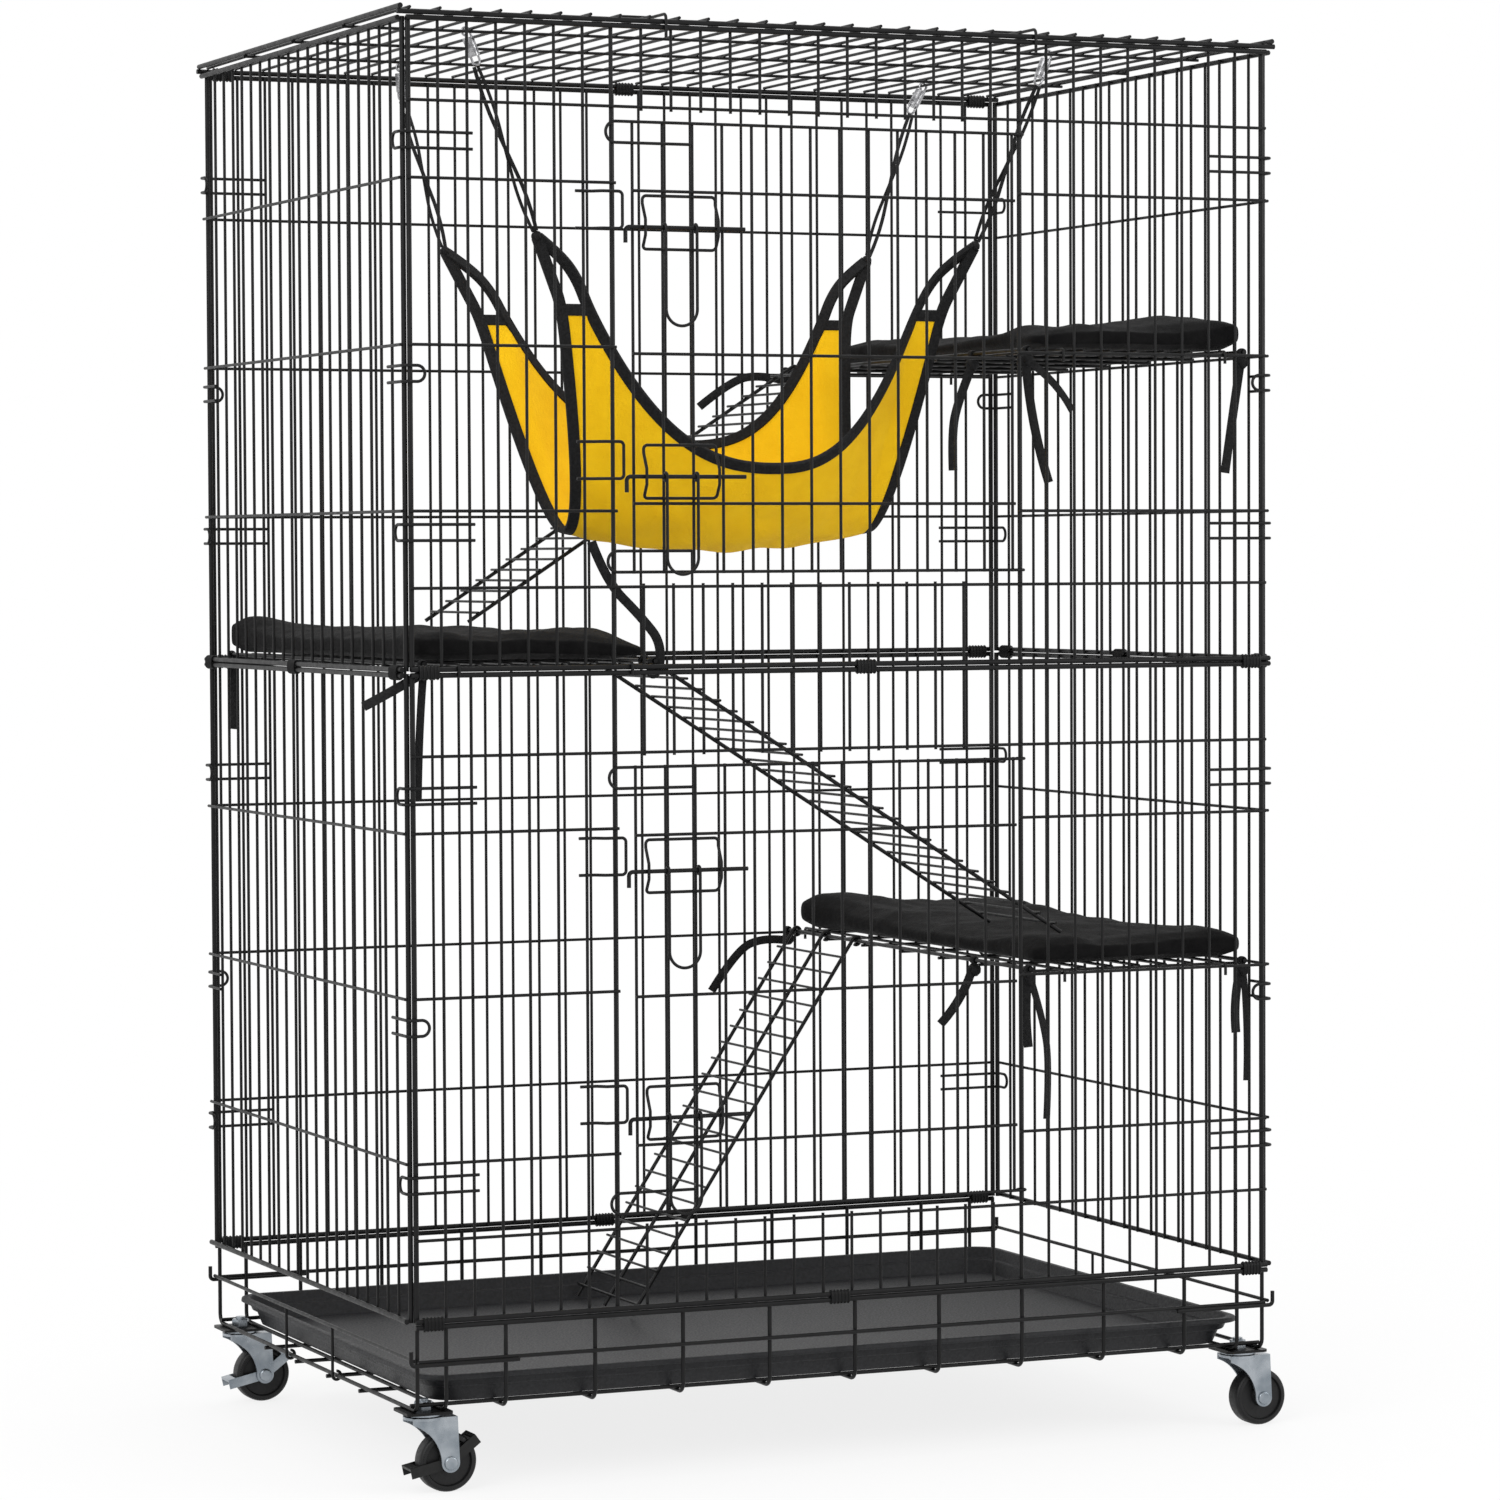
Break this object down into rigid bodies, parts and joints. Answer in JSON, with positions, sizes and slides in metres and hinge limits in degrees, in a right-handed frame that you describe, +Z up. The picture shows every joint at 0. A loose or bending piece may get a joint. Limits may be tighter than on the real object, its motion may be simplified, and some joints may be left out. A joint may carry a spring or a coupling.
{
  "type": "cat cage",
  "caption": "Tall folding wire cat cage on casters, with hinged bolted doors, padded shelves, wire ramps, a hung hammock and a slide-out tray.",
  "frame": {"origin": "on the floor, under the middle of the cage's wire walls", "axes": "+Z up, -Y out of the doors, +X to the right of a person who faces the doors"},
  "size_m": [0.9842, 0.6386, 1.3978],
  "materials": {
    "black_wire": "satin black powder coat",
    "yellow_fleece": "short fleece pile",
    "black_cloth": "soft brushed cotton over wadding",
    "black_tape": "woven cotton tape",
    "snap_metal": "bright die-cast",
    "tray_plastic": "fine moulded texture",
    "wheel_plastic": "moulded",
    "brake_black": "moulded",
    "zinc": "zinc plate"
  },
  "bodies": {
    "cage": {"base_back_wall": "black_wire", "base_floor": "black_wire", "base_front_wall": "black_wire", "caster_nuts": "zinc", "caster_stems": "zinc", "corner_plates": "black_wire", "hammock_binding": "black_tape", "hammock_cloth": "yellow_fleece", "hammock_straps": "black_tape", "lower_back_panel": "black_wire", "lower_cushion_ties": "black_tape", "lower_front_panel": "black_wire", "lower_left_panel": "black_wire", "lower_right_panel": "black_wire", "lower_shelf_cushion": "black_cloth", "lower_shelf_rack": "black_wire", "middle_cushion_ties": "black_tape", "middle_shelf_cushion": "black_cloth", "middle_shelf_rack": "black_wire", "rail_sleeves": "black_wire", "roof_panel": "black_wire", "snap_hooks": "snap_metal", "upper_back_panel": "black_wire", "upper_cushion_ties": "black_tape", "upper_front_panel": "black_wire", "upper_left_panel": "black_wire", "upper_right_panel": "black_wire", "upper_shelf_cushion": "black_cloth", "upper_shelf_rack": "black_wire"},
    "lower_door": {"lower_door": "black_wire"},
    "lower_top_bolt": {"lower_top_bolt": "black_wire"},
    "lower_top_handle": {"lower_top_handle": "black_wire"},
    "lower_bottom_bolt": {"lower_bottom_bolt": "black_wire"},
    "lower_bottom_handle": {"lower_bottom_handle": "black_wire"},
    "upper_door": {"upper_door": "black_wire"},
    "upper_top_bolt": {"upper_top_bolt": "black_wire"},
    "upper_top_handle": {"upper_top_handle": "black_wire"},
    "upper_bottom_bolt": {"upper_bottom_bolt": "black_wire"},
    "upper_bottom_handle": {"upper_bottom_handle": "black_wire"},
    "tray": {"tray": "tray_plastic"},
    "tray_gate_left": {"tray_gate_left": "black_wire"},
    "tray_gate_right": {"tray_gate_right": "black_wire"},
    "lower_ramp": {"lower_ramp": "black_wire"},
    "middle_ramp": {"middle_ramp": "black_wire"},
    "upper_ramp": {"upper_ramp": "black_wire"},
    "front_left_fork": {"front_left_fork": "zinc", "front_left_axle": "zinc"},
    "front_left_wheel": {"front_left_wheel": "wheel_plastic"},
    "front_left_brake": {"front_left_brake": "brake_black"},
    "front_right_fork": {"front_right_fork": "zinc", "front_right_axle": "zinc"},
    "front_right_wheel": {"front_right_wheel": "wheel_plastic"},
    "rear_left_fork": {"rear_left_fork": "zinc", "rear_left_axle": "zinc"},
    "rear_left_wheel": {"rear_left_wheel": "wheel_plastic"},
    "rear_left_brake": {"rear_left_brake": "zinc"},
    "rear_right_fork": {"rear_right_fork": "zinc", "rear_right_axle": "zinc"},
    "rear_right_wheel": {"rear_right_wheel": "wheel_plastic"}
  },
  "joints": [
    {"name": "lower_door_hinge", "type": "hinge", "parent": "cage", "child": "lower_door", "pos_m": [0.181, -0.3075, 0.4694], "axis": [0, 0, 1], "range_deg": [0, 110]},
    {"name": "lower_top_bolt_slide", "type": "slide", "parent": "lower_door", "child": "lower_top_bolt", "axis": [1, 0, 0], "range_m": [-0.013, 0.012]},
    {"name": "lower_top_handle_swing", "type": "hinge", "parent": "lower_top_bolt", "child": "lower_top_handle", "pos_m": [-0.182, -0.31533, 0.5829], "axis": [-1, 0, 0], "range_deg": [0, 170]},
    {"name": "lower_bottom_bolt_slide", "type": "slide", "parent": "lower_door", "child": "lower_bottom_bolt", "axis": [1, 0, 0], "range_m": [-0.013, 0.012]},
    {"name": "lower_bottom_handle_swing", "type": "hinge", "parent": "lower_bottom_bolt", "child": "lower_bottom_handle", "pos_m": [-0.182, -0.31533, 0.3469], "axis": [-1, 0, 0], "range_deg": [0, 170]},
    {"name": "upper_door_hinge", "type": "hinge", "parent": "cage", "child": "upper_door", "pos_m": [0.181, -0.3075, 1.0808], "axis": [0, 0, 1], "range_deg": [0, 110]},
    {"name": "upper_top_bolt_slide", "type": "slide", "parent": "upper_door", "child": "upper_top_bolt", "axis": [1, 0, 0], "range_m": [-0.013, 0.012]},
    {"name": "upper_top_handle_swing", "type": "hinge", "parent": "upper_top_bolt", "child": "upper_top_handle", "pos_m": [-0.182, -0.31533, 1.1943], "axis": [-1, 0, 0], "range_deg": [0, 170]},
    {"name": "upper_bottom_bolt_slide", "type": "slide", "parent": "upper_door", "child": "upper_bottom_bolt", "axis": [1, 0, 0], "range_m": [-0.013, 0.012]},
    {"name": "upper_bottom_handle_swing", "type": "hinge", "parent": "upper_bottom_bolt", "child": "upper_bottom_handle", "pos_m": [-0.182, -0.31533, 0.9583], "axis": [-1, 0, 0], "range_deg": [0, 170]},
    {"name": "tray_slide", "type": "slide", "parent": "cage", "child": "tray", "axis": [1, 0, 0], "range_m": [-0.01, 0.01]},
    {"name": "tray_gate_left_fold", "type": "hinge", "parent": "cage", "child": "tray_gate_left", "pos_m": [-0.4518, 0, 0.081], "axis": [0, -1, 0], "range_deg": [0, 100]},
    {"name": "tray_gate_right_fold", "type": "hinge", "parent": "cage", "child": "tray_gate_right", "pos_m": [0.4518, 0, 0.081], "axis": [0, 1, 0], "range_deg": [0, 100]},
    {"name": "lower_ramp_hinge", "type": "hinge", "parent": "cage", "child": "lower_ramp", "pos_m": [0.19604, 0, 0.4733], "axis": [0, 1, 0], "range_deg": [0, 45]},
    {"name": "middle_ramp_hinge", "type": "hinge", "parent": "cage", "child": "middle_ramp", "pos_m": [-0.20293, 0, 0.7827], "axis": [0, -1, 0], "range_deg": [0, 28]},
    {"name": "upper_ramp_hinge", "type": "hinge", "parent": "cage", "child": "upper_ramp", "pos_m": [0.19604, 0, 1.0847], "axis": [0, 1, 0], "range_deg": [0, 30]},
    {"name": "front_left_swivel", "type": "hinge", "parent": "cage", "child": "front_left_fork", "pos_m": [-0.4374, -0.283, 0.071], "axis": [0, 0, 1], "continuous": true},
    {"name": "front_left_wheel_spin", "type": "hinge", "parent": "front_left_fork", "child": "front_left_wheel", "pos_m": [-0.4154, -0.283, 0.0285], "axis": [0, 1, 0], "continuous": true},
    {"name": "front_left_brake_lever", "type": "hinge", "parent": "front_left_fork", "child": "front_left_brake", "pos_m": [-0.4154, -0.283, 0.0285], "axis": [0, -1, 0], "range_deg": [0, 15]},
    {"name": "front_right_swivel", "type": "hinge", "parent": "cage", "child": "front_right_fork", "pos_m": [0.4374, -0.283, 0.071], "axis": [0, 0, 1], "continuous": true},
    {"name": "front_right_wheel_spin", "type": "hinge", "parent": "front_right_fork", "child": "front_right_wheel", "pos_m": [0.4594, -0.283, 0.0285], "axis": [0, 1, 0], "continuous": true},
    {"name": "rear_left_swivel", "type": "hinge", "parent": "cage", "child": "rear_left_fork", "pos_m": [-0.4374, 0.283, 0.071], "axis": [0, 0, 1], "continuous": true},
    {"name": "rear_left_wheel_spin", "type": "hinge", "parent": "rear_left_fork", "child": "rear_left_wheel", "pos_m": [-0.4154, 0.283, 0.0285], "axis": [0, 1, 0], "continuous": true},
    {"name": "rear_left_brake_lever", "type": "hinge", "parent": "rear_left_fork", "child": "rear_left_brake", "pos_m": [-0.4154, 0.283, 0.0285], "axis": [0, -1, 0], "range_deg": [0, 15]},
    {"name": "rear_right_swivel", "type": "hinge", "parent": "cage", "child": "rear_right_fork", "pos_m": [0.4374, 0.283, 0.071], "axis": [0, 0, 1], "continuous": true},
    {"name": "rear_right_wheel_spin", "type": "hinge", "parent": "rear_right_fork", "child": "rear_right_wheel", "pos_m": [0.4594, 0.283, 0.0285], "axis": [0, 1, 0], "continuous": true}
  ]
}
